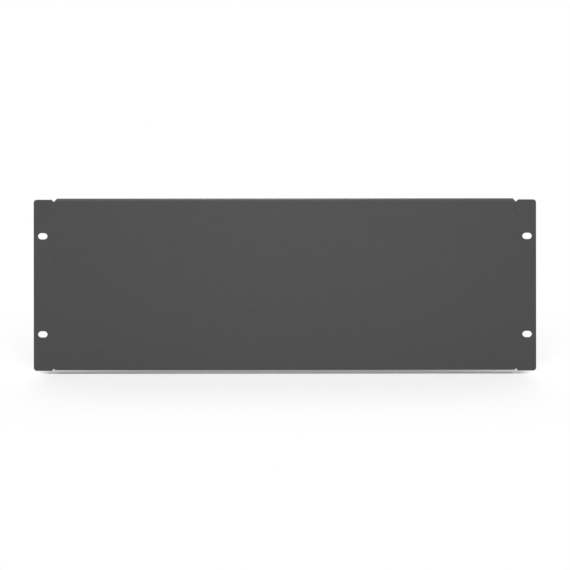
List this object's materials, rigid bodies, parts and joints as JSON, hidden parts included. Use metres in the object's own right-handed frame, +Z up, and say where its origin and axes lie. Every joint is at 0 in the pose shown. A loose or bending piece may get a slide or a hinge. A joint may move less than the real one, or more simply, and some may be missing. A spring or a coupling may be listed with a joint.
{
  "type": "rack blanking panel",
  "caption": "Flat steel panel with folded top and bottom flanges and slotted ears, which closes an unused opening in a server rack.",
  "frame": {"origin": "centre of the four-slot pattern, on the ears' rear face, which seats on the rack's rails", "axes": "+X along the panel's width, +Y to the rear, away from the front face, +Z up as mounted"},
  "size_m": [0.4826, 0.0045, 0.177],
  "materials": {
    "powder_coat": "fine-textured satin powder coat, neutral dark grey, on both sides"
  },
  "bodies": {
    "root": {"blanking_panel": "powder_coat"}
  },
  "joints": []
}
